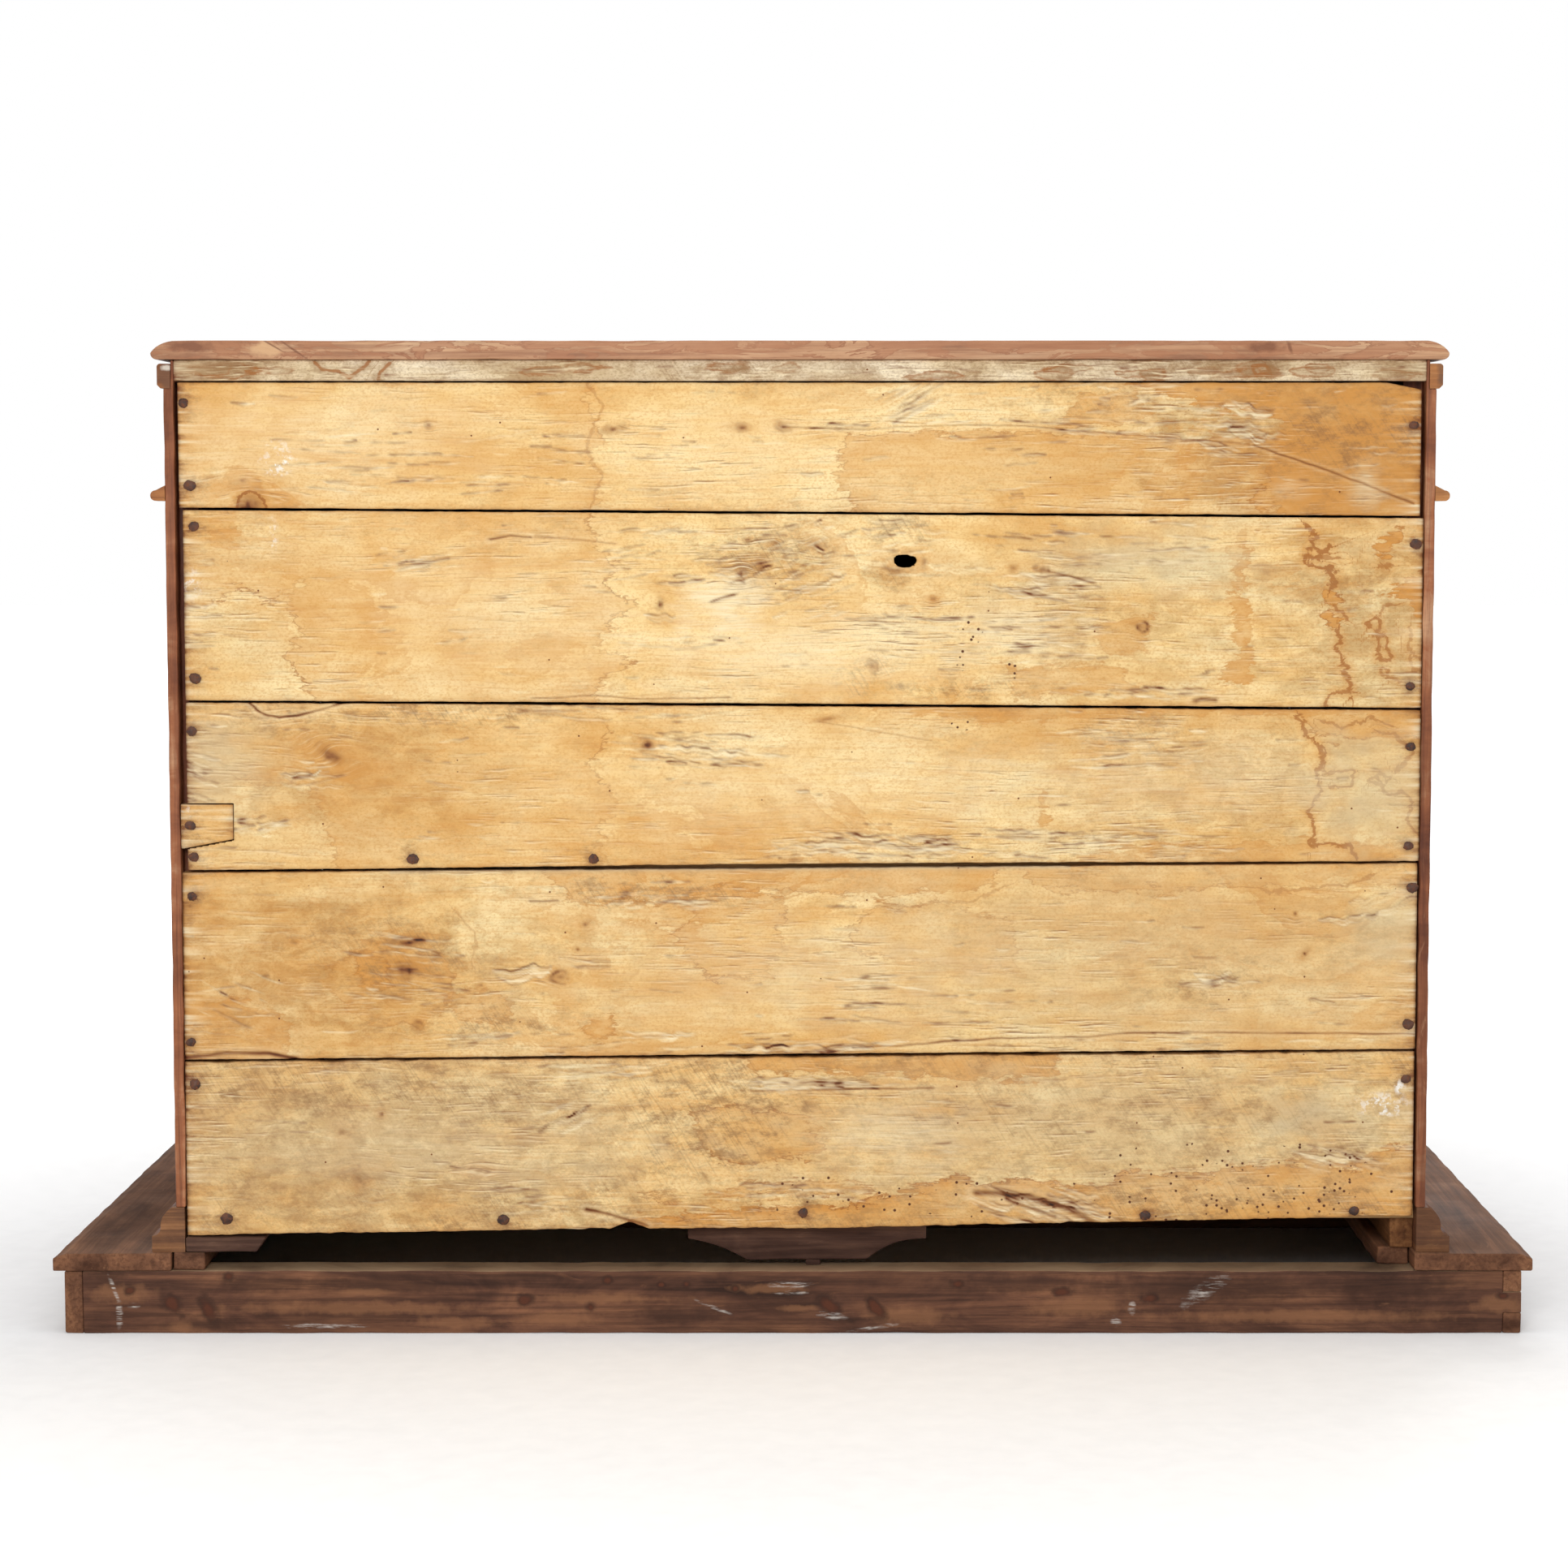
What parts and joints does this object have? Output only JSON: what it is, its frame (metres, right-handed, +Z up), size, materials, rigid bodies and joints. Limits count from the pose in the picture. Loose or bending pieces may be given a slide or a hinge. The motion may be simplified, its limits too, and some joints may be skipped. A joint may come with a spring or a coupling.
{
  "type": "credenza",
  "caption": "Old walnut credenza on a low open platform, with panelled doors, frieze drawers and a nailed plank back, for keeping linen and tableware.",
  "frame": {"origin": "on the floor, under the middle of the platform", "axes": "+Z up, doors and drawers face -Y, plank back faces +Y, +X along the length to the right of a person facing the doors"},
  "size_m": [1.7, 0.74, 1.1345],
  "materials": {
    "poplar_plank": "bare hand-planed poplar, amber stains",
    "poplar_patch": "bare poplar",
    "grey_poplar": "bare, greyed",
    "inner_poplar": "bare, dusty",
    "walnut": "waxed old walnut",
    "dark_walnut": "worn dark stain",
    "forged_iron": "forged, dark",
    "nail_iron": "rusted"
  },
  "bodies": {
    "case": {"back_board_1": "poplar_plank", "back_board_2": "poplar_plank", "back_board_3": "poplar_plank", "back_board_4": "poplar_plank", "back_board_5": "poplar_plank", "back_nails": "nail_iron", "back_patch": "poplar_patch", "base_moulding": "walnut", "belt_moulding": "walnut", "belt_rail": "walnut", "bottom_board": "inner_poplar", "bottom_front_rail": "walnut", "centre_rear_foot": "walnut", "centre_stile": "walnut", "cornice_moulding": "walnut", "door_stops": "inner_poplar", "drawer_divider": "walnut", "drawer_runners": "inner_poplar", "hinge_pintles": "forged_iron", "left_side": "walnut", "left_stile": "walnut", "platform_bearers": "dark_walnut", "platform_cross_rail": "dark_walnut", "platform_front_board": "dark_walnut", "platform_front_rail": "dark_walnut", "platform_left_board": "dark_walnut", "platform_rear_rail": "dark_walnut", "platform_right_board": "dark_walnut", "platform_side_rails": "dark_walnut", "right_rear_foot": "walnut", "right_side": "walnut", "right_stile": "walnut", "shelf": "inner_poplar", "shelf_battens": "inner_poplar", "side_skids": "walnut", "top_board": "walnut", "top_front_rail": "walnut", "top_rear_rail": "grey_poplar"},
    "left_door": {"left_door_stiles": "walnut", "left_door_rails": "walnut", "left_door_panel": "walnut", "left_door_straps": "forged_iron", "left_door_lock_case": "forged_iron"},
    "left_key": {"left_door_key": "forged_iron"},
    "left_bolt": {"left_door_bolt": "forged_iron"},
    "left_drawer": {"left_drawer_front": "walnut", "left_drawer_walls": "inner_poplar", "left_drawer_bottom": "inner_poplar", "left_drawer_knob": "walnut"},
    "right_door": {"right_door_stiles": "walnut", "right_door_rails": "walnut", "right_door_panel": "walnut", "right_door_straps": "forged_iron", "right_door_lock_case": "forged_iron"},
    "right_key": {"right_door_key": "forged_iron"},
    "right_bolt": {"right_door_bolt": "forged_iron"},
    "right_drawer": {"right_drawer_front": "walnut", "right_drawer_walls": "inner_poplar", "right_drawer_bottom": "inner_poplar", "right_drawer_knob": "walnut"}
  },
  "joints": [
    {"name": "left_door_swing", "type": "hinge", "parent": "case", "child": "left_door", "pos_m": [-0.641, -0.245, 0.56], "axis": [0, 0, -1], "range_deg": [0, 160]},
    {"name": "right_door_swing", "type": "hinge", "parent": "case", "child": "right_door", "pos_m": [0.623, -0.245, 0.56], "axis": [0, 0, 1], "range_deg": [0, 160]},
    {"name": "left_key_turn", "type": "hinge", "parent": "left_door", "child": "left_key", "pos_m": [-0.0875, -0.25, 0.55975], "axis": [0, -1, 0], "range_deg": [0, 90]},
    {"name": "right_key_turn", "type": "hinge", "parent": "right_door", "child": "right_key", "pos_m": [0.0695, -0.25, 0.55975], "axis": [0, 1, 0], "range_deg": [0, 90]},
    {"name": "left_bolt_slide", "type": "slide", "parent": "left_door", "child": "left_bolt", "axis": [1, 0, 0], "range_m": [0, 0.01]},
    {"name": "right_bolt_slide", "type": "slide", "parent": "right_door", "child": "right_bolt", "axis": [-1, 0, 0], "range_m": [0, 0.01]},
    {"name": "left_drawer_slide", "type": "slide", "parent": "case", "child": "left_drawer", "axis": [0, -1, 0], "range_m": [0, 0.4]},
    {"name": "right_drawer_slide", "type": "slide", "parent": "case", "child": "right_drawer", "axis": [0, -1, 0], "range_m": [0, 0.4]}
  ],
  "couplings": [
    {"joint": "left_key_turn", "follows": "left_bolt_slide", "rad_per_m": 157.08},
    {"joint": "right_key_turn", "follows": "right_bolt_slide", "rad_per_m": 157.08}
  ]
}
